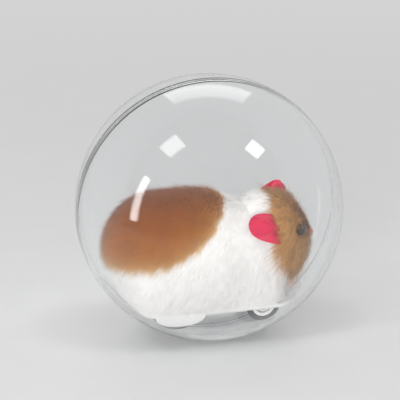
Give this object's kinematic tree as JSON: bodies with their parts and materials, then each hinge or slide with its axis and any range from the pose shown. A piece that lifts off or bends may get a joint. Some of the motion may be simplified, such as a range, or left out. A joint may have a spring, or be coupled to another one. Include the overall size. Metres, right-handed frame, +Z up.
{
  "type": "hamster ball",
  "caption": "Clear rolling ball in two push-fit halves with a battery-driven plush hamster on wheels inside.",
  "frame": {"origin": "centre of the ball", "axes": "+X the way the hamster faces, +Y to its left and square to the ball's seam, +Z up"},
  "size_m": [0.14, 0.14, 0.14],
  "materials": {
    "clear_shell": "clear moulded polystyrene, polished",
    "white_plastic": "white moulded plastic, semi-gloss",
    "housing_plastic": "plain moulded plastic",
    "gear_plastic": "nylon",
    "steel": "plain steel",
    "tyre_rubber": "soft dark rubber",
    "cell_wrap": "plain wrapped steel can",
    "contact_metal": "sprung strip",
    "lead_red": "insulated wire",
    "lead_black": "insulated wire",
    "switch_black": "moulded",
    "plush_body_fur": "short pile plush, tan saddle on white",
    "plush_face_fur": "longer shaggy pile plush",
    "ear_satin": "pink-red satin",
    "paw_felt": "felt",
    "eye_black": "polished bead",
    "nose_pink": "moulded, satin"
  },
  "bodies": {
    "ball": {"ball_half_left": "clear_shell"},
    "ball_cap": {"ball_half_right": "clear_shell"},
    "hamster": {"base_pan": "white_plastic", "chassis_cover": "housing_plastic", "cover_screws": "steel", "gearbox_frame": "housing_plastic", "battery_cell_left": "cell_wrap", "battery_cell_right": "cell_wrap", "rear_contacts": "contact_metal", "front_contact": "contact_metal", "switch_body": "switch_black", "motor_can": "steel", "motor_lead_red": "lead_red", "motor_lead_black": "lead_black", "gear_pin": "steel", "front_axle_left": "steel", "front_axle_right": "steel", "plush_body": "plush_body_fur", "plush_head": "plush_face_fur", "ear_left": "ear_satin", "ear_right": "ear_satin", "eye_left": "eye_black", "eye_right": "eye_black", "nose": "nose_pink", "front_paw_left": "paw_felt", "front_paw_right": "paw_felt"},
    "drive_axle": {"drive_axle": "steel", "drive_wheel_left": "white_plastic", "drive_wheel_right": "white_plastic", "drive_tyre_left": "tyre_rubber", "drive_tyre_right": "tyre_rubber", "axle_gear": "gear_plastic"},
    "compound_gear": {"compound_gear": "gear_plastic"},
    "motor_rotor": {"motor_shaft": "steel", "motor_pinion": "contact_metal"},
    "front_wheel_left": {"front_wheel_left": "white_plastic", "front_tyre_left": "tyre_rubber"},
    "front_wheel_right": {"front_wheel_right": "white_plastic", "front_tyre_right": "tyre_rubber"},
    "battery_door": {"battery_door": "white_plastic", "door_screw": "steel"},
    "switch_knob": {"switch_knob": "switch_black"}
  },
  "joints": [
    {"name": "cap_pull", "type": "slide", "parent": "ball", "child": "ball_cap", "axis": [0, -1, 0], "range_m": [0, 0.08]},
    {"name": "hamster_roll", "type": "hinge", "parent": "ball", "child": "hamster", "pos_m": [0, 0, 0], "axis": [0, 1, 0], "continuous": true},
    {"name": "axle_spin", "type": "hinge", "parent": "hamster", "child": "drive_axle", "pos_m": [-0.022, 0, -0.04345], "axis": [0, 1, 0], "continuous": true},
    {"name": "compound_spin", "type": "hinge", "parent": "hamster", "child": "compound_gear", "pos_m": [-0.021, 0, -0.0339], "axis": [0, 1, 0], "continuous": true},
    {"name": "motor_spin", "type": "hinge", "parent": "hamster", "child": "motor_rotor", "pos_m": [-0.01172, 0, -0.03145], "axis": [0, 1, 0], "continuous": true},
    {"name": "front_left_spin", "type": "hinge", "parent": "hamster", "child": "front_wheel_left", "pos_m": [0.024, 0, -0.04804], "axis": [0, 1, 0], "continuous": true},
    {"name": "front_right_spin", "type": "hinge", "parent": "hamster", "child": "front_wheel_right", "pos_m": [0.024, 0, -0.04804], "axis": [0, 1, 0], "continuous": true},
    {"name": "door_drop", "type": "slide", "parent": "hamster", "child": "battery_door", "axis": [0, 0, -1], "range_m": [0, 0.0035]},
    {"name": "switch_slide", "type": "slide", "parent": "hamster", "child": "switch_knob", "axis": [0, 1, 0], "range_m": [0, 0.0025]}
  ],
  "couplings": [
    {"joint": "axle_spin", "follows": "hamster_roll", "ratio": -4.4789},
    {"joint": "compound_spin", "follows": "hamster_roll", "ratio": 13.437},
    {"joint": "motor_spin", "follows": "hamster_roll", "ratio": -40.31},
    {"joint": "front_left_spin", "follows": "hamster_roll", "ratio": -6.9671},
    {"joint": "front_right_spin", "follows": "hamster_roll", "ratio": -6.9671}
  ]
}
